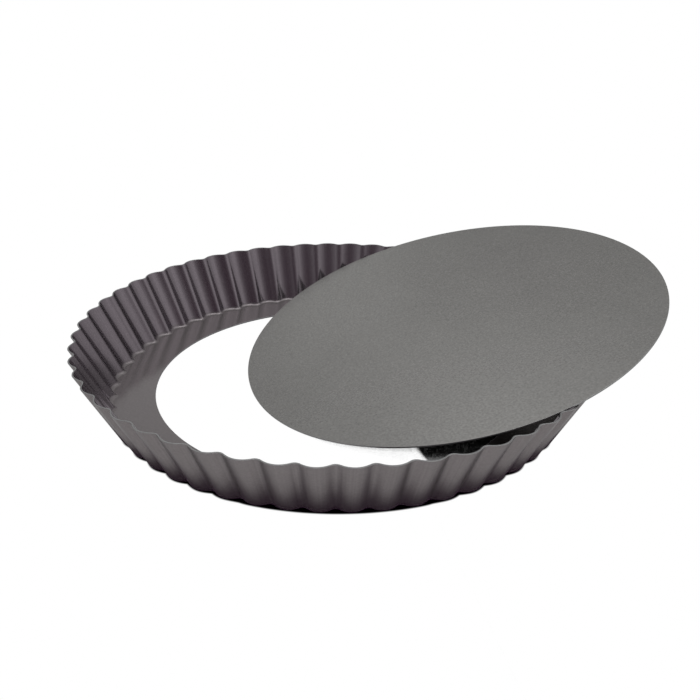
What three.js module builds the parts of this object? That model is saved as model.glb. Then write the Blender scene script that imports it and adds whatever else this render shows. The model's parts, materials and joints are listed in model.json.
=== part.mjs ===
// Loose-bottom tart pan: a fluted ring with an inward flange, and a loose flat base.
// The base has been taken out and leans on the ring: its low edge stands on the table inside
// the flange's opening, and its underside rests on the rim at two points.
// Millimetres, +Z up, +X the way the base leans. The origin is on the table, in the middle of
// the box around both pieces.
import * as THREE from 'three';

// Driving dimensions of the ring
const rimDiameter = 280; // across the lobes of the flutes, at the top
const footDiameter = 246; // across the lobes, where the wall meets the table
const wallHeight = 34;
const openingDiameter = 198; // the round hole in the flange
const ringSheet = 0.8; // thickness of the pressed sheet
const bendRadius = 2; // inside the bend between the wall and the flange
const fluteCount = 54;
const fluteDepth = 2.6; // from a lobe in to a ridge
const ridgeBluntness = 0.15; // of the narrow inner ridges, 0 is sharp

// Driving dimensions of the base and of the way it leans
const baseSheet = 0.8; // thickness of the plate
const baseClearance = 2; // around the plate when it lies on the flange
const footingInset = 51; // from the opening's edge to the low edge of the leaning base
const seatGap = 0.3; // between the rim and the base that leans on it

// Fineness of the meshes and of the search for the lean
const fluteSteps = 6; // columns in one flute
const bendSteps = 2; // chords in the bend
const baseSegments = 180;
const edgeSamples = 2000; // along half of the base's edge
const leanHalvings = 40;
const flattestLean = THREE.MathUtils.degToRad(1);
const steepestLean = THREE.MathUtils.degToRad(80);

// Sizes that follow
const rimRadius = rimDiameter / 2;
const footRadius = footDiameter / 2;
const openingRadius = openingDiameter / 2;
const flarePerHeight = (rimRadius - footRadius) / wallHeight;
const flare = Math.atan(flarePerHeight); // of the wall, from upright
const wallAcross = ringSheet / Math.cos(flare); // the wall's thickness, measured level
const outerBend = bendRadius + ringSheet;
const bendCentre = footRadius - outerBend * Math.tan((Math.PI / 2 - flare) / 2);
const baseRadius = bendCentre - fluteDepth - baseClearance;
const lowEdge = footingInset - openingRadius; // X from the ring's axis

// How far the pressed wall lies inside its lobes: nothing on a lobe, the full depth on a ridge.
// The lobes are broad and round, and the ridges between them narrow.
function fluteInset(angle) {
  const wave = Math.sin((fluteCount * angle) / 2);
  const rise = Math.hypot(wave, ridgeBluntness) - ridgeBluntness;
  const fullRise = Math.hypot(1, ridgeBluntness) - ridgeBluntness;
  return fluteDepth * (1 - rise / fullRise);
}

// The inner face of the wall, as a radius about the ring's axis.
function innerRadius(angle, height) {
  return footRadius + flarePerHeight * height - wallAcross - fluteInset(angle);
}

// One section through the sheet, at a lobe. A pressed point follows the flutes.
function ringSection() {
  const section = [];
  const addPoint = (radius, height, pressed) => section.push({ radius, height, pressed });
  const addBend = (radius, from, to) => {
    for (let step = 0; step <= bendSteps; step += 1) {
      const turn = THREE.MathUtils.lerp(from, to, step / bendSteps);
      addPoint(bendCentre + radius * Math.cos(turn), outerBend + radius * Math.sin(turn), true);
    }
  };
  const bendFoot = -Math.PI / 2;
  const bendTop = -flare;
  addPoint(openingRadius, 0, false);
  addBend(outerBend, bendFoot, bendTop);
  addPoint(rimRadius, wallHeight, true);
  addPoint(rimRadius - wallAcross, wallHeight, true);
  addBend(bendRadius, bendTop, bendFoot);
  addPoint(openingRadius, ringSheet, false);
  section.push(section[0]);
  return section;
}

// The section is spun about the axis, starting on +X where a ridge lies, and then the flutes
// are pressed into the wall.
function ringGeometry() {
  const section = ringSection();
  const outline = section.map((point) => new THREE.Vector2(point.radius, point.height));
  const geometry = new THREE.LatheGeometry(outline, fluteCount * fluteSteps, Math.PI / 2);
  geometry.rotateX(Math.PI / 2);
  const place = geometry.attributes.position;
  for (let index = 0; index < place.count; index += 1) {
    if (!section[index % section.length].pressed) continue;
    const angle = Math.atan2(place.getY(index), place.getX(index));
    const inset = fluteInset(angle);
    place.setX(index, place.getX(index) - inset * Math.cos(angle));
    place.setY(index, place.getY(index) - inset * Math.sin(angle));
  }
  geometry.computeVertexNormals();
  return geometry;
}

// The least room between the wall and that part of the base's edge which isn't yet over the rim.
function roomInsideWall(lean) {
  let room = Infinity;
  for (let sample = 0; sample <= edgeSamples; sample += 1) {
    const turn = (Math.PI * sample) / edgeSamples;
    const upPlate = baseRadius * (1 - Math.cos(turn));
    const height = upPlate * Math.sin(lean);
    if (height > wallHeight + seatGap) break;
    const x = lowEdge + upPlate * Math.cos(lean);
    const y = baseRadius * Math.sin(turn);
    const wall = innerRadius(Math.atan2(y, x), Math.min(height, wallHeight));
    room = Math.min(room, wall - Math.hypot(x, y));
  }
  return room;
}

// The flattest lean at which the base still passes over the rim.
function restingLean() {
  let tooFlat = flattestLean;
  let clear = steepestLean;
  for (let halving = 0; halving < leanHalvings; halving += 1) {
    const middle = (tooFlat + clear) / 2;
    if (roomInsideWall(middle) < seatGap) tooFlat = middle;
    else clear = middle;
  }
  return clear;
}

function nonStickCoat(colour) {
  return new THREE.MeshStandardMaterial({ color: colour, roughness: 0.5, metalness: 0.3 });
}

const flutedRing = new THREE.Mesh(ringGeometry(), nonStickCoat('#5f5a5d'));
flutedRing.name = 'fluted_ring';

const plate = new THREE.CylinderGeometry(baseRadius, baseRadius, baseSheet, baseSegments);
plate.rotateX(Math.PI / 2);
plate.translate(baseRadius, 0, baseSheet / 2);
const looseBase = new THREE.Mesh(plate, nonStickCoat('#787674'));
looseBase.name = 'loose_base';

// The group's origin is the low edge, on which the base tips up.
const leaningBase = new THREE.Group();
leaningBase.position.x = lowEdge;
leaningBase.rotation.y = -restingLean();
leaningBase.add(looseBase);

const tartPan = new THREE.Group();
tartPan.add(flutedRing, leaningBase);
const box = new THREE.Box3().setFromObject(tartPan, true);
tartPan.position.x = -(box.min.x + box.max.x) / 2;

export default tartPan;
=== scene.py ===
# %% [markdown]
# # A loose-bottom tart pan
#
# The pan is two pieces of pressed steel with a dark non-stick coat: a fluted ring with a flat
# flange turned inwards at its foot, and a flat round base that drops onto the flange. Here the
# base has been taken out and leans on the ring, as a cook leaves it to dry.
#
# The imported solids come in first. They fix where everything is, so each piece below takes its
# place and most of its sizes from them. All lengths are in metres.

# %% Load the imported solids
import json
import math

import bmesh
import bpy
from mathutils import Matrix, Quaternion, Vector


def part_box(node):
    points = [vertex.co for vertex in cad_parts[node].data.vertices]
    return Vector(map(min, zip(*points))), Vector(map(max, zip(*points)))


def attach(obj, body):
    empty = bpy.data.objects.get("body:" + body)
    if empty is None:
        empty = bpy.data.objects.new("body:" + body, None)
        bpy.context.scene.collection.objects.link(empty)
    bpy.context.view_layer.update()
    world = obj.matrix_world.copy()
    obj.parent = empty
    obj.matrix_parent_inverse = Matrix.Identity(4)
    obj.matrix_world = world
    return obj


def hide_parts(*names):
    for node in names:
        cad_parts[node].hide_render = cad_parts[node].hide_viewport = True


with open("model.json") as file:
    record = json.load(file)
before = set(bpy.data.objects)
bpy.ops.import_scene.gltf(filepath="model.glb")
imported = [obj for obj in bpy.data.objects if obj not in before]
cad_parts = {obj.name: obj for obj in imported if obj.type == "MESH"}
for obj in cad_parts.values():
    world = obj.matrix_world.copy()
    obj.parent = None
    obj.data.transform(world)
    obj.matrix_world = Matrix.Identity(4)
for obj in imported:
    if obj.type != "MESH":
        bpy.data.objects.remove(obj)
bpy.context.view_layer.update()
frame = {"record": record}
MM = 0.001

# %% [markdown]
# ## Sizes
#
# The ring's box gives its axis, the rim and the height of the wall. The base is a tilted disc:
# the middle of its box is the middle of the plate, its width along Y is its diameter, and the
# mount on its upper face says which way that face looks. The foot, the opening, the sheet and
# the flutes have the sizes that the solids were made with. The last three values belong to the
# looks alone: they round the bend, the ridges between the flutes and the cut edges.

# %% Measure the solids
ring_low, ring_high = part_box("fluted_ring")
ring_x = (ring_low.x + ring_high.x) / 2
rim_radius = (ring_high.y - ring_low.y) / 2
wall_height = ring_high.z - ring_low.z

base_low, base_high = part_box("loose_base")
base_centre = (base_low + base_high) / 2
base_radius = (base_high.y - base_low.y) / 2
mounts = {mount["name"]: mount for mount in frame["record"]["mounts"]}
base_up = Vector(mounts["base_top_face"]["axis"]).normalized()

foot_radius = 123 * MM
opening_radius = 99 * MM
sheet = 0.8 * MM
flute_count = 54
flute_depth = 2.6 * MM
bend_radius = 2.5 * MM
ridge_share = 0.26
edge_round = 0.15 * MM

straight_up = Vector((0, 0, 1))
base_lean = math.degrees(base_up.angle(straight_up))
print(f"rim {2 * rim_radius / MM:.1f} mm, wall {wall_height / MM:.1f} mm, axis at x {ring_x:.4f} m")
print(f"base {2 * base_radius / MM:.1f} mm, leaning {base_lean:.2f} degrees")

# %% [markdown]
# ## Camera
#
# The camera stands about half a metre from the ring's axis, a little over 27 degrees above the
# table. It looks at a point behind the ring's axis and to the right of it, and is tipped very
# slightly to one side, as a camera in the hand is. The focal length is the one that gives the
# ring's far side the size it should have beside its near side.

# %% Place the camera
camera_bearing = math.radians(-106.44)
camera_rise = math.radians(27.467)
camera_distance = 473.7 * MM
camera_tip = math.radians(0.724)
aim_point = Vector((ring_x + 18.41 * MM, 36.3 * MM, 0))
sensor_millimetres = 36
lens_millimetres = 43.71
farthest_seen = 100

ring_foot = Vector((ring_x, 0, 0))
level = Vector((math.cos(camera_bearing), math.sin(camera_bearing), 0))
towards_camera = math.cos(camera_rise) * level + math.sin(camera_rise) * straight_up
eye = ring_foot + camera_distance * towards_camera
looking = (aim_point - eye).to_track_quat("-Z", "Y")

camera_data = bpy.data.cameras.new("camera")
camera_data.sensor_width = sensor_millimetres
camera_data.lens = lens_millimetres
camera_data.clip_end = farthest_seen
camera = bpy.data.objects.new("camera", camera_data)
camera.rotation_mode = "QUATERNION"
camera.location = eye
camera.rotation_quaternion = looking @ Quaternion((0, 0, 1), camera_tip)
bpy.context.scene.collection.objects.link(camera)
bpy.context.scene.camera = camera
print("camera at", [round(c, 3) for c in eye])

# %% [markdown]
# ## Node helpers
#
# Both the materials and the flutes are node trees. A few short helpers keep them readable. The
# first adds a node and feeds its inputs, either with a plain value or with another node's
# output. The others add the nodes that come up again and again: a sum of numbers, a sum of
# vectors, a ramp from 0 to 1, and a mix of two numbers or of two colours. A Mix node has its
# sockets for colours after those for numbers and vectors, so they are found by their places.

# %% Helpers for node trees
node_spacing = 190
mix_colour_a = 6
mix_colour_b = 7
mix_colour_result = 2


def add_node(tree, kind, feeds=None, **settings):
    node = tree.nodes.new(kind)
    node.location = (node_spacing * len(tree.nodes), 0)
    for name, value in settings.items():
        setattr(node, name, value)
    for socket, value in (feeds or {}).items():
        if isinstance(value, bpy.types.NodeSocket):
            tree.links.new(value, node.inputs[socket])
        else:
            node.inputs[socket].default_value = value
    return node


def sum_of(tree, operation, *values):
    node = add_node(tree, "ShaderNodeMath", dict(enumerate(values)), operation=operation)
    return node.outputs["Value"]


def vector_sum_of(tree, operation, *values):
    node = add_node(tree, "ShaderNodeVectorMath", dict(enumerate(values)), operation=operation)
    gives_number = operation in ("LENGTH", "DOT_PRODUCT")
    return node.outputs["Value" if gives_number else "Vector"]


def ramp_of(tree, value, start, end, shape="LINEAR"):
    feeds = {"Value": value, "From Min": start, "From Max": end}
    return add_node(tree, "ShaderNodeMapRange", feeds, interpolation_type=shape).outputs["Result"]


def mix_of(tree, first, second, share):
    feeds = {"Factor": share, "A": first, "B": second}
    return add_node(tree, "ShaderNodeMix", feeds).outputs["Result"]


def colour_mix_of(tree, first, second, share):
    feeds = {"Factor": share, mix_colour_a: first, mix_colour_b: second}
    return add_node(tree, "ShaderNodeMix", feeds, data_type="RGBA").outputs[mix_colour_result]


def new_material(name):
    material = bpy.data.materials.new(name)
    material.use_nodes = True
    material.node_tree.nodes.clear()
    return material


# %% [markdown]
# ## Studio
#
# The pan stands on a white table that runs out of the picture on all sides. A pale tent goes
# round the pan and over it. It is open on the camera's side, and that dark opening is what the
# flutes mirror as dark bands: dark metal is drawn by what it mirrors. A soft light hangs
# overhead, a little towards the camera, and the tent glows more brightly in a few places.
#
# The camera sees the table as plain white, with painted shade on it. An ambient-occlusion fade
# paints it dark in the deep nooks under the pan, and a painted patch of light brightens those
# nooks on the base's low side. A painted shade also lies right under the ring, out to where the
# foot stands: at the sides the notches between the lobes show, and in front the shade fills them.
# The coat mirrors the same white, with a painted shade around the ring's own foot that stands for
# the shade the flaring wall throws there. For all other light the table is ordinary white paint.
#
# Each fade below is a pair: where it is dark, and where it is white.

# %% Choose the table's white and its painted shades
white = (1, 1, 1, 1)
paint_white = (0.8, 0.8, 0.8, 1)
# Painted shade: the colour of the dark band painted around the ring's foot on the table that the
# coat mirrors.
painted_foot_shade_colour = (0.06, 0.02, 0.06, 1)
nook_reach = 150 * MM
nook_samples = 32
painted_nook_shade_fade = (0.08, 0.2)
# Painted light: on the base's low side the nook shade is lifted by this factor, so the table stays
# white there.
painted_low_side_light = 9.0
low_side_fade = (0, -5 * MM)
flange_fade = (opening_radius + 4 * MM, opening_radius + 1.5 * MM)
foot_fade = (-0.4 * MM, 0.8 * MM)
notch_depth = 0.65 * flute_depth
notch_fade = (0.97, 0.87)
flange_middle = 112 * MM
mirrored_painted_shade_fade = (13 * MM, 24 * MM)


def fade(tree, value, limits):
    return ramp_of(tree, value, *limits, shape="SMOOTHSTEP")


def past_foot(tree, to_here, from_axis):
    way_out = vector_sum_of(tree, "NORMALIZE", to_here)
    along = add_node(tree, "ShaderNodeSeparateXYZ", {0: way_out}).outputs
    angle = sum_of(tree, "ARCTAN2", along["Y"], along["X"])
    wave = sum_of(tree, "SINE", sum_of(tree, "MULTIPLY", angle, flute_count / 2))
    in_notch = sum_of(tree, "SUBTRACT", 1.0, sum_of(tree, "ABSOLUTE", wave))
    at_the_side = fade(tree, vector_sum_of(tree, "DOT_PRODUCT", way_out, level), notch_fade)
    notch = sum_of(tree, "MULTIPLY", in_notch, at_the_side)
    past_lobes = sum_of(tree, "SUBTRACT", from_axis, foot_radius)
    return sum_of(tree, "MULTIPLY_ADD", notch, notch_depth, past_lobes)


# Painted shade for camera rays: an ambient-occlusion fade in the nooks, lifted on the base's low
# side, and a shade painted by place under the ring.
def seen_white_with_painted_shade(tree, place, to_here, from_axis):
    outside = fade(tree, past_foot(tree, to_here, from_axis), foot_fade)
    in_opening = fade(tree, from_axis, flange_fade)
    beside_ring = sum_of(tree, "MAXIMUM", outside, in_opening)
    across = add_node(tree, "ShaderNodeSeparateXYZ", {0: place}).outputs["X"]
    on_low_side = fade(tree, across, low_side_fade)
    painted_light_in = sum_of(tree, "MULTIPLY_ADD", on_low_side, painted_low_side_light, 1.0)
    nook = add_node(
        tree, "ShaderNodeAmbientOcclusion", {"Distance": nook_reach}, samples=nook_samples
    ).outputs["AO"]
    out_of_nook = fade(tree, sum_of(tree, "MULTIPLY", nook, painted_light_in), painted_nook_shade_fade)
    return sum_of(tree, "MINIMUM", out_of_nook, beside_ring)


print("shade under the ring from", round(flange_fade[0] / MM), "to", round(foot_radius / MM), "mm")


# %% Make the table
table_reach = 12
table_segments = 64
table_drop = 0.05 * MM


def white_table():
    material = new_material("white_table")
    tree = material.node_tree
    place = add_node(tree, "ShaderNodeTexCoord").outputs["Object"]
    to_here = vector_sum_of(tree, "SUBTRACT", place, ring_foot)
    from_axis = vector_sum_of(tree, "LENGTH", to_here)

    strength = seen_white_with_painted_shade(tree, place, to_here, from_axis)
    seen = add_node(tree, "ShaderNodeEmission", {"Strength": strength}).outputs[0]
    from_flange = sum_of(tree, "ABSOLUTE", sum_of(tree, "SUBTRACT", from_axis, flange_middle))
    # Painted shade: the table that the coat mirrors darkens around the ring's foot by place, not by
    # any lamp.
    out_of_shade = fade(tree, from_flange, mirrored_painted_shade_fade)
    mirrored_white_with_painted_shade = colour_mix_of(tree, painted_foot_shade_colour, white, out_of_shade)
    mirrored = add_node(tree, "ShaderNodeEmission", {"Color": mirrored_white_with_painted_shade}).outputs[0]
    paint = add_node(tree, "ShaderNodeBsdfDiffuse", {"Color": paint_white}).outputs[0]

    path = add_node(tree, "ShaderNodeLightPath").outputs
    by_coat = sum_of(tree, "MAXIMUM", path["Is Glossy Ray"], path["Is Transmission Ray"])
    unseen = add_node(tree, "ShaderNodeMixShader", {0: by_coat, 1: paint, 2: mirrored}).outputs[0]
    by_camera = {0: path["Is Camera Ray"], 1: unseen, 2: seen}
    surface = add_node(tree, "ShaderNodeMixShader", by_camera).outputs[0]
    add_node(tree, "ShaderNodeOutputMaterial", {"Surface": surface})
    return material


table_mesh = bpy.data.meshes.new("table")
table_plan = bmesh.new()
bmesh.ops.create_circle(table_plan, cap_ends=True, segments=table_segments, radius=table_reach)
bmesh.ops.translate(table_plan, verts=table_plan.verts, vec=(0, 0, -table_drop))
table_plan.to_mesh(table_mesh)
table_plan.free()
table_mesh.materials.append(white_table())
table = bpy.data.objects.new("table", table_mesh)
bpy.context.scene.collection.objects.link(table)
print("table", 2 * table_reach, "m across")

# %% [markdown]
# A wide sun lamp is the overhead light, because it lights the whole table evenly. The tent is
# painted on the world, so that it is soft and far away. It fades out towards the camera with the
# cosine of the angle to it.
#
# Its bright places are round glows with no edge. Each has a turn, counted in degrees around the
# pan from the camera towards the right of the picture, and a rise above the table. The larger
# its fall, the smaller the glow. The first is a lamp high on the right with a faint one under
# it, which light the flutes at the back left. The last two stand behind the pan, where the base
# mirrors them.

# %% Hang the overhead light
overhead_lean = math.radians(10)
overhead_width = math.radians(54)
overhead_energy = 1.3

overhead_data = bpy.data.lights.new("overhead", "SUN")
overhead_data.energy = overhead_energy
overhead_data.angle = overhead_width
overhead = bpy.data.objects.new("overhead", overhead_data)
overhead.rotation_mode = "QUATERNION"
towards_light = math.sin(overhead_lean) * level + math.cos(overhead_lean) * straight_up
overhead.rotation_quaternion = towards_light.to_track_quat("Z", "Y")
bpy.context.scene.collection.objects.link(overhead)
print("overhead light of", round(math.degrees(overhead_width)), "degrees")

# %% Set up the tent
tent_glow = (0.55, 0.55, 0.55, 1)
room_glow = (0.06, 0.02, 0.045, 1)
tent_edge = 0.32
tent_gap = 0.97
glows = (
    {"turn": 103, "rise": 58, "fall": 12, "strength": 1.9},
    {"turn": 80, "rise": 26, "fall": 10, "strength": 0.12},
    {"turn": 194, "rise": 21, "fall": 120, "strength": 0.8},
    {"turn": 190, "rise": 44, "fall": 72, "strength": 0.74},
)

world = bpy.data.worlds.new("tent")
world.use_nodes = True
bpy.context.scene.world = world
tent = world.node_tree
tent.nodes.clear()
direction = add_node(tent, "ShaderNodeTexCoord").outputs["Generated"]


def nearness(target):
    return vector_sum_of(tent, "DOT_PRODUCT", direction, target)


def glow_light(turn, rise, fall, strength):
    bearing = camera_bearing + math.radians(turn)
    height = math.sin(math.radians(rise))
    reach = math.cos(math.radians(rise))
    middle = (reach * math.cos(bearing), reach * math.sin(bearing), height)
    fading = sum_of(tent, "MULTIPLY_ADD", nearness(middle), fall, -fall)
    return sum_of(tent, "MULTIPLY", sum_of(tent, "EXPONENT", fading), strength)


opening = ramp_of(tent, nearness(level), tent_edge, tent_gap)
light = colour_mix_of(tent, tent_glow, room_glow, opening)
for glow in glows:
    light = vector_sum_of(tent, "ADD", light, glow_light(**glow))
by_camera = add_node(tent, "ShaderNodeLightPath").outputs["Is Camera Ray"]
shown = colour_mix_of(tent, light, white, by_camera)
backdrop = add_node(tent, "ShaderNodeBackground", {"Color": shown}).outputs[0]
add_node(tent, "ShaderNodeOutputWorld", {"Surface": backdrop})
bpy.context.scene.view_settings.view_transform = "Standard"
print("tent of", len(tent.nodes), "nodes")

# %% [markdown]
# ## Coat
#
# The coat is a thin satin paint with fine metal flake in it, baked onto the sheet, so it mirrors
# its surroundings softly, more like a dark metal than like a plain grey paint. Up close it has a
# fine grain, and over a few centimetres it is a touch uneven. Where the sheet was cut, at the
# rim, around the opening and around the base, a thin line of paler metal shows: those faces carry
# an attribute named cut_edge.
#
# On the ring the press has worked the coat. The flange stays the plainest. Inside the wall the
# flake lies flat and shines most, and outside the coat is rougher. Each side also gets a tint of
# painted shade: the flange and the outside of the wall are darker, and the inside has a faint
# purple shade hue. Faint lines run up the flutes. The map around_and_up tells the sides apart:
# its second number runs along the section, up the outside in the first half and down the inside
# in the second.

# %% Choose the coat's grain and shine
flake_size = 1.1 * MM
cloud_size = 36 * MM
cloud_share = 0.12
noise_detail = 2
noise_middle = 0.5
bump_strength = 0.025
bump_height = 0.2 * MM
uneven_roughness = 0.06
base_metal = 0.7
base_roughness = 0.2
flange_metal = 0.42
flange_roughness = 0.1
# Painted shade per side: the tints below darken the flange and the outside of the wall and give the
# inside a faint purple hue.
flange_shade_tint = (0.66, 0.66, 0.65, 1)
inner_metal = 0.85
inner_roughness = 0.12
inner_shade_tint = (1.0, 0.955, 1.03, 1)
outer_metal = 0.66
outer_roughness = 0.28
outer_shade_tint = (0.94, 0.94, 0.92, 1)
outer_half = 0.5
wall_starts = 1 * MM
wall_is_full = 3 * MM
lines_around = 900
lines_up = 3
line_share = 0.4
pale_metal = (0.21, 0.21, 0.21, 1)
grazing_shine = (0.4, 0.4, 0.4, 1)
print("flake of", round(flake_size / MM, 1), "mm, clouds of", round(cloud_size / MM), "mm")


# %% Mix the coat
def noise(tree, vector, scale):
    feeds = {"Vector": vector, "Scale": scale, "Detail": noise_detail}
    return add_node(tree, "ShaderNodeTexNoise", feeds).outputs["Fac"]


def around_one(tree, value, share):
    from_middle = sum_of(tree, "SUBTRACT", value, noise_middle)
    return sum_of(tree, "MULTIPLY_ADD", from_middle, share, 1.0)


def scaled(tree, colour, factor):
    feeds = {0: colour, "Scale": factor}
    return add_node(tree, "ShaderNodeVectorMath", feeds, operation="SCALE").outputs["Vector"]


def flat_sheet(tree, place, colour):
    return colour, base_metal, base_roughness


def pressed_sheet(tree, place, colour):
    height = add_node(tree, "ShaderNodeSeparateXYZ", {0: place}).outputs["Z"]
    on_wall = ramp_of(tree, height, wall_starts, wall_is_full)
    marks = add_node(tree, "ShaderNodeAttribute", attribute_name="around_and_up").outputs["Vector"]
    along_section = add_node(tree, "ShaderNodeSeparateXYZ", {0: marks}).outputs["Y"]
    outside = sum_of(tree, "LESS_THAN", along_section, outer_half)

    def by_side(mix, flange, inner, outer):
        return mix(tree, flange, mix(tree, inner, outer, outside), on_wall)

    metal = by_side(mix_of, flange_metal, inner_metal, outer_metal)
    roughness = by_side(mix_of, flange_roughness, inner_roughness, outer_roughness)
    # Painted shade: each side of the ring gets its own darkening tint.
    side_shade_tint = by_side(colour_mix_of, flange_shade_tint, inner_shade_tint, outer_shade_tint)
    stretched = vector_sum_of(tree, "MULTIPLY", marks, (lines_around, lines_up, 0))
    wall_lines = sum_of(tree, "MULTIPLY", on_wall, line_share)
    lines = around_one(tree, noise(tree, stretched, 1), wall_lines)
    side_shaded = vector_sum_of(tree, "MULTIPLY", colour, side_shade_tint)
    return scaled(tree, side_shaded, lines), metal, roughness


def coat(name, colour, grain, sheet_kind):
    material = new_material(name)
    tree = material.node_tree
    place = add_node(tree, "ShaderNodeTexCoord").outputs["Object"]
    flake = noise(tree, place, 1 / flake_size)
    cloud = noise(tree, place, 1 / cloud_size)
    clouded = around_one(tree, cloud, cloud_share)
    shade = sum_of(tree, "MULTIPLY", around_one(tree, flake, grain), clouded)
    painted, metal, even = sheet_kind(tree, place, colour)
    cut = add_node(tree, "ShaderNodeAttribute", attribute_name="cut_edge").outputs["Fac"]
    bumps = {"Strength": bump_strength * grain, "Distance": bump_height, "Height": flake}
    finish = {
        "Base Color": colour_mix_of(tree, scaled(tree, painted, shade), pale_metal, cut),
        "Metallic": metal,
        "Roughness": sum_of(tree, "MULTIPLY_ADD", cloud, uneven_roughness, even),
        "Specular Tint": grazing_shine,
        "Normal": add_node(tree, "ShaderNodeBump", bumps).outputs["Normal"],
    }
    shader = add_node(tree, "ShaderNodeBsdfPrincipled", finish).outputs["BSDF"]
    add_node(tree, "ShaderNodeOutputMaterial", {"Surface": shader})
    return material


ring_colour = (0.184, 0.167, 0.172)
base_colour = (0.210, 0.207, 0.200)
ring_finish = coat("ring_finish", ring_colour, grain=0.35, sheet_kind=pressed_sheet)
base_finish = coat("base_finish", base_colour, grain=0.7, sheet_kind=flat_sheet)
print("finishes:", ring_finish.name, base_finish.name)

# %% [markdown]
# ## Fluted ring
#
# The ring is drawn from one sheet. Its section is an L: the flange, a bend, and the flaring
# wall. Spun about the axis it would be a smooth ring, and the flutes are what the press adds:
# every point of the wall moves inwards along a curve of two parabolas, a broad one on the lobes
# and a narrow one on the ridges between them, that meet with one slope. That is a rule, so it is
# made with Geometry Nodes, in three steps: draw the closed section and round its corners, lay it
# around the axis on a grid, and press the flutes.

# %% Start the tree with its named sizes
flute_steps = 32
corner_steps = 5
seam_reach = 0.001 * MM

ring_tree = bpy.data.node_groups.new("fluted_ring_tree", "GeometryNodeTree")
ring_sizes = {
    "Rim radius": rim_radius,
    "Foot radius": foot_radius,
    "Opening radius": opening_radius,
    "Wall height": wall_height,
    "Sheet": sheet,
    "Bend radius": bend_radius,
    "Edge round": edge_round,
    "Flute count": flute_count,
    "Flute depth": flute_depth,
    "Ridge share": ridge_share,
    "Columns": flute_count * flute_steps,
    "Axis X": ring_x,
}
for size_name, size in ring_sizes.items():
    kind = "NodeSocketInt" if isinstance(size, int) else "NodeSocketFloat"
    ring_tree.interface.new_socket(name=size_name, in_out="INPUT", socket_type=kind)
ring_tree.interface.new_socket(name="Ring", in_out="OUTPUT", socket_type="NodeSocketGeometry")


def ring_node(kind, feeds=None, **settings):
    return add_node(ring_tree, kind, feeds, **settings).outputs


def ring_sum(operation, *values):
    return sum_of(ring_tree, operation, *values)


given = ring_node("NodeGroupInput")
print("the tree takes", len(ring_sizes), "sizes")

# %% [markdown]
# The section has six corners. The wall leans, so its thickness measured level is more than the
# sheet's, and the inner corner of the bend lies a little further in than the outer one. Each
# corner then gets its own rounding: the two bends are large, and the cut edges are only broken.

# %% Draw the section
flare_width = ring_sum("SUBTRACT", given["Rim radius"], given["Foot radius"])
flare = ring_sum("DIVIDE", flare_width, given["Wall height"])
slant = ring_sum("SQRT", ring_sum("MULTIPLY_ADD", flare, flare, 1.0))
wall_across = ring_sum("MULTIPLY", given["Sheet"], slant)
inner_rim = ring_sum("SUBTRACT", given["Rim radius"], wall_across)
outer_at_sheet = ring_sum("MULTIPLY_ADD", flare, given["Sheet"], given["Foot radius"])
inner_foot = ring_sum("SUBTRACT", outer_at_sheet, wall_across)
outer_bend = ring_sum("ADD", given["Bend radius"], given["Sheet"])

edge = given["Edge round"]
corners = (
    (given["Opening radius"], 0.0, edge),
    (given["Foot radius"], 0.0, outer_bend),
    (given["Rim radius"], given["Wall height"], edge),
    (inner_rim, given["Wall height"], edge),
    (inner_foot, given["Sheet"], given["Bend radius"]),
    (given["Opening radius"], given["Sheet"], edge),
)
corner_number = ring_node("GeometryNodeInputIndex")[0]


def pick(data_type, choices):
    switch = add_node(ring_tree, "GeometryNodeIndexSwitch", data_type=data_type)
    while len(switch.index_switch_items) < len(choices):
        switch.index_switch_items.new()
    ring_tree.links.new(corner_number, switch.inputs[0])
    for slot, choice in enumerate(choices, start=1):
        ring_tree.links.new(choice, switch.inputs[slot])
    return switch.outputs[0]


corner_places = []
corner_rounds = []
for corner_radius, corner_height, corner_round in corners:
    corner_place = ring_node("ShaderNodeCombineXYZ", {"X": corner_radius, "Z": corner_height})[0]
    corner_places.append(corner_place)
    corner_rounds.append(corner_round)
corner_line = ring_node("GeometryNodeMeshLine", {"Count": len(corners)})[0]
corner_mesh = ring_node(
    "GeometryNodeSetPosition", {"Geometry": corner_line, "Position": pick("VECTOR", corner_places)}
)[0]
open_section = ring_node("GeometryNodeMeshToCurve", {"Mesh": corner_mesh})[0]
sharp_section = ring_node(
    "GeometryNodeSetSplineCyclic", {"Geometry": open_section, "Cyclic": True}
)[0]
section = ring_node(
    "GeometryNodeFilletCurve",
    {"Curve": sharp_section, "Count": corner_steps, "Radius": pick("FLOAT", corner_rounds)},
    mode="POLY",
)[0]
section_size = ring_node(
    "GeometryNodeAttributeDomainSize", {"Geometry": section}, component="CURVE"
)["Point Count"]
print("section with", len(corners), "rounded corners")

# %% [markdown]
# A grid has a column for each step around the axis and a row for each point of the section. Its
# vertices are numbered column by column, so a vertex's number gives both. Half is added before
# the division, so that no rounding tips a vertex into the next column. The last row and the last
# column land on the first ones again, and merging them closes the ring.

# %% Spin the section
rows = ring_sum("ADD", section_size, 1.0)
columns = ring_sum("ADD", given["Columns"], 1.0)
sheet_grid = ring_node("GeometryNodeMeshGrid", {"Vertices X": columns, "Vertices Y": rows})[0]

vertex = ring_node("GeometryNodeInputIndex")[0]
column = ring_sum("FLOOR", ring_sum("DIVIDE", ring_sum("ADD", vertex, 0.5), rows))
row = ring_sum("SUBTRACT", vertex, ring_sum("MULTIPLY", column, rows))
position = ring_node("GeometryNodeInputPosition")[0]
section_point = ring_node(
    "GeometryNodeSampleIndex",
    {"Geometry": section, "Value": position, "Index": ring_sum("MODULO", row, section_size)},
    data_type="FLOAT_VECTOR",
)[0]
on_section = ring_node("ShaderNodeSeparateXYZ", {0: section_point})
angle = ring_sum("DIVIDE", ring_sum("MULTIPLY", column, math.tau), given["Columns"])
print("grid of", ring_sizes["Columns"], "columns")

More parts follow.
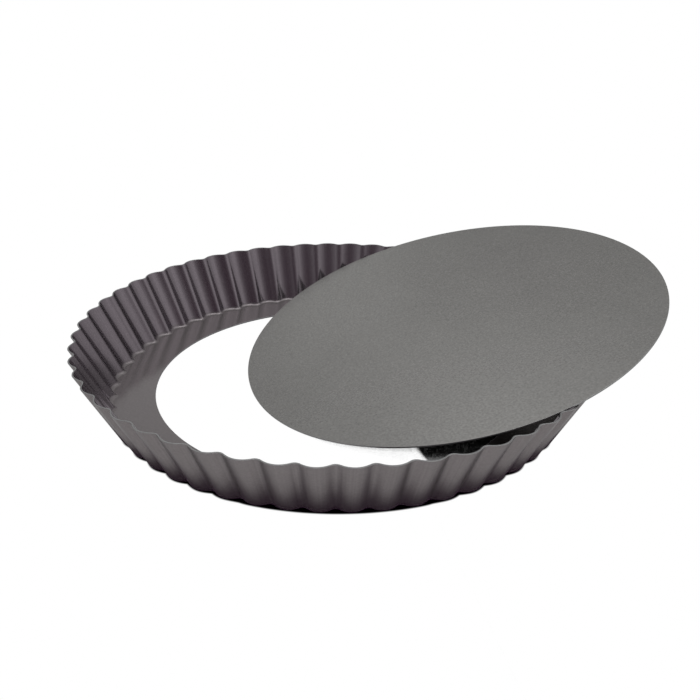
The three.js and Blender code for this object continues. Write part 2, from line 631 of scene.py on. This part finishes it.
# %% [markdown]
# The way around the ring is counted in flutes, from a ridge at 0 to the middle of a lobe at one
# half and back. Both parabolas give the share of the full depth by which the sheet lies further
# in: all of it on a ridge, and nothing on a lobe. The flange beside the opening isn't pressed.

# %% Press the flutes
half_flute = 0.5
parabola_scale = 2.0
flutes_passed = ring_sum("DIVIDE", ring_sum("MULTIPLY", angle, given["Flute count"]), math.tau)
from_ridge = ring_sum("PINGPONG", flutes_passed, half_flute)
from_lobe = ring_sum("SUBTRACT", half_flute, from_ridge)
ridge_half = ring_sum("MULTIPLY", given["Ridge share"], half_flute)
lobe_half = ring_sum("SUBTRACT", half_flute, ridge_half)
ridge_fall = ring_sum("DIVIDE", ring_sum("MULTIPLY", from_ridge, from_ridge), ridge_half)
lobe_rise = ring_sum("DIVIDE", ring_sum("MULTIPLY", from_lobe, from_lobe), lobe_half)
inset_share = ring_node(
    "GeometryNodeSwitch",
    {
        "Switch": ring_sum("LESS_THAN", from_ridge, ridge_half),
        "False": ring_sum("MULTIPLY", lobe_rise, parabola_scale),
        "True": ring_sum("MULTIPLY_ADD", ridge_fall, -parabola_scale, 1.0),
    },
    input_type="FLOAT",
)[0]
inset = ring_sum("MULTIPLY", given["Flute depth"], inset_share)
flange_width = ring_sum("SUBTRACT", given["Foot radius"], given["Opening radius"])
mid_flange = ring_sum("MULTIPLY_ADD", flange_width, 0.5, given["Opening radius"])
pressed = ring_sum("GREATER_THAN", on_section["X"], mid_flange)
radius = ring_sum("SUBTRACT", on_section["X"], ring_sum("MULTIPLY", inset, pressed))
pressed_place = ring_node(
    "ShaderNodeCombineXYZ",
    {
        "X": ring_sum("MULTIPLY_ADD", radius, ring_sum("COSINE", angle), given["Axis X"]),
        "Y": ring_sum("MULTIPLY", radius, ring_sum("SINE", angle)),
        "Z": on_section["Z"],
    },
)[0]
spun = ring_node("GeometryNodeSetPosition", {"Geometry": sheet_grid, "Position": pressed_place})[0]
print("flutes:", flute_count)

# %% [markdown]
# Two things go with the mesh: a map that runs around the ring and along its section, for marks
# that follow the drawn metal, and the cut_edge attribute on the faces of the rim and of the
# opening. Then the seams are merged, and the coat is put on.

# %% Finish the tree
around = ring_sum("DIVIDE", column, given["Columns"])
along = ring_sum("DIVIDE", row, section_size)
at_vertices = ring_node(
    "GeometryNodeFieldOnDomain",
    {0: ring_node("ShaderNodeCombineXYZ", {"X": around, "Y": along})[0]},
    data_type="FLOAT_VECTOR",
    domain="POINT",
)[0]
mapped = ring_node(
    "GeometryNodeStoreNamedAttribute",
    {"Geometry": spun, "Name": "around_and_up", "Value": at_vertices},
    data_type="FLOAT2",
    domain="CORNER",
)[0]

here = ring_node("ShaderNodeSeparateXYZ", {0: position})
off_axis = ring_sum("SUBTRACT", here["X"], given["Axis X"])
from_axis = ring_node("ShaderNodeCombineXYZ", {"X": off_axis, "Y": here["Y"]})[0]
axis_distance = vector_sum_of(ring_tree, "LENGTH", from_axis)
on_rim = ring_sum("GREATER_THAN", here["Z"], ring_sum("SUBTRACT", given["Wall height"], edge))
on_opening = ring_sum("LESS_THAN", axis_distance, ring_sum("ADD", given["Opening radius"], edge))
edged = ring_node(
    "GeometryNodeStoreNamedAttribute",
    {"Geometry": mapped, "Name": "cut_edge", "Value": ring_sum("MAXIMUM", on_rim, on_opening)},
    data_type="FLOAT",
    domain="FACE",
)[0]
closed = ring_node("GeometryNodeMergeByDistance", {"Geometry": edged, "Distance": seam_reach})[0]
smooth = ring_node("GeometryNodeSetShadeSmooth", {"Geometry": closed})[0]
real = ring_node("GeometryNodeRealizeInstances", {"Geometry": smooth})[0]
coated = ring_node("GeometryNodeSetMaterial", {"Geometry": real, "Material": ring_finish})[0]
ring_node("NodeGroupOutput", {"Ring": coated})
print("tree of", len(ring_tree.nodes), "nodes")

# %% [markdown]
# The tree runs on an empty mesh. Weighted normals keep the long flat faces flat where they meet
# the small rounded ones. The result is then copied out as a plain mesh.

# %% Build the ring
def made_plain(name, host):
    bpy.context.view_layer.update()
    shaped = host.evaluated_get(bpy.context.evaluated_depsgraph_get())
    mesh = bpy.data.meshes.new_from_object(shaped)
    mesh.name = name
    piece = bpy.data.objects.new(name, mesh)
    bpy.context.scene.collection.objects.link(piece)
    host.modifiers.clear()
    bpy.data.objects.remove(host)
    return piece


def turned_outwards(mesh):
    shape = bmesh.new()
    shape.from_mesh(mesh)
    volume = shape.calc_volume(signed=True)
    shape.free()
    return volume > 0


ring_host = bpy.data.objects.new("ring_host", bpy.data.meshes.new("ring_host"))
bpy.context.scene.collection.objects.link(ring_host)
flutes = ring_host.modifiers.new("flutes", "NODES")
flutes.node_group = ring_tree
for socket in ring_tree.interface.items_tree:
    if socket.in_out == "INPUT":
        flutes[socket.identifier] = ring_sizes[socket.name]
ring_host.modifiers.new("weighting", "WEIGHTED_NORMAL")
ring = made_plain("ring", ring_host)
print("ring:", len(ring.data.polygons), "faces, outwards", turned_outwards(ring.data))
print("box", [round(c / MM, 2) for c in ring.dimensions], "mm")

# %% [markdown]
# ## Loose base
#
# The base is a disc blanked from flat sheet. Its outline is spun here in mesh code: from the
# middle of the underside out, round the cut edge, and back to the middle on top. The disc is
# then turned to the lean that its solid has and moved to its place.

# %% Draw the base's outline
base_steps = 288
edge_steps = 3
flat_shares = (0.25, 0.5, 0.75)
edge_band = 0.9 * edge_round


def base_outline():
    top = sheet / 2
    flat_end = base_radius - edge_round
    points = [(share * flat_end, -top) for share in flat_shares]
    for first_turn, middle_height in ((-90, edge_round - top), (0, top - edge_round)):
        for step in range(edge_steps + 1):
            turn = math.radians(first_turn + 90 * step / edge_steps)
            distance = flat_end + edge_round * math.cos(turn)
            points.append((distance, middle_height + edge_round * math.sin(turn)))
    points += [(share * flat_end, top) for share in reversed(flat_shares)]
    return points


outline = base_outline()
print("outline of", len(outline), "points")


# %% Build the base
def spun_ring(shape, distance, height):
    turns = [math.tau * step / base_steps for step in range(base_steps)]
    return [shape.verts.new((distance * math.cos(t), distance * math.sin(t), height)) for t in turns]


def base_mesh():
    shape = bmesh.new()
    cut_edge = shape.faces.layers.float.new("cut_edge")
    rings = [spun_ring(shape, distance, height) for distance, height in outline]
    for lower, upper in zip(rings, rings[1:]):
        for step in range(base_steps):
            following = (step + 1) % base_steps
            face = shape.faces.new((lower[step], lower[following], upper[following], upper[step]))
            reach = min(math.hypot(v.co.x, v.co.y) for v in face.verts)
            face[cut_edge] = float(reach > base_radius - edge_band)
    for loop in (rings[0], rings[-1]):
        middle = shape.verts.new((0, 0, loop[0].co.z))
        for step in range(base_steps):
            following = (step + 1) % base_steps
            shape.faces.new((loop[step], loop[following], middle))
    bmesh.ops.recalc_face_normals(shape, faces=shape.faces)
    for face in shape.faces:
        face.smooth = True
    lean = straight_up.rotation_difference(base_up).to_matrix().to_4x4()
    shape.transform(Matrix.Translation(base_centre) @ lean)
    mesh = bpy.data.meshes.new("base_host")
    shape.to_mesh(mesh)
    shape.free()
    mesh.materials.append(base_finish)
    return mesh


base_host = bpy.data.objects.new("base_host", base_mesh())
bpy.context.scene.collection.objects.link(base_host)
base_host.modifiers.new("weighting", "WEIGHTED_NORMAL")
base = made_plain("base", base_host)
print("base:", len(base.data.polygons), "faces, outwards", turned_outwards(base.data))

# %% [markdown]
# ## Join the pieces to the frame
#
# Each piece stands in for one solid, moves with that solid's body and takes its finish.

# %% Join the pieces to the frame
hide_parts("fluted_ring")
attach(ring, "ring")
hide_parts("loose_base")
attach(base, "base")
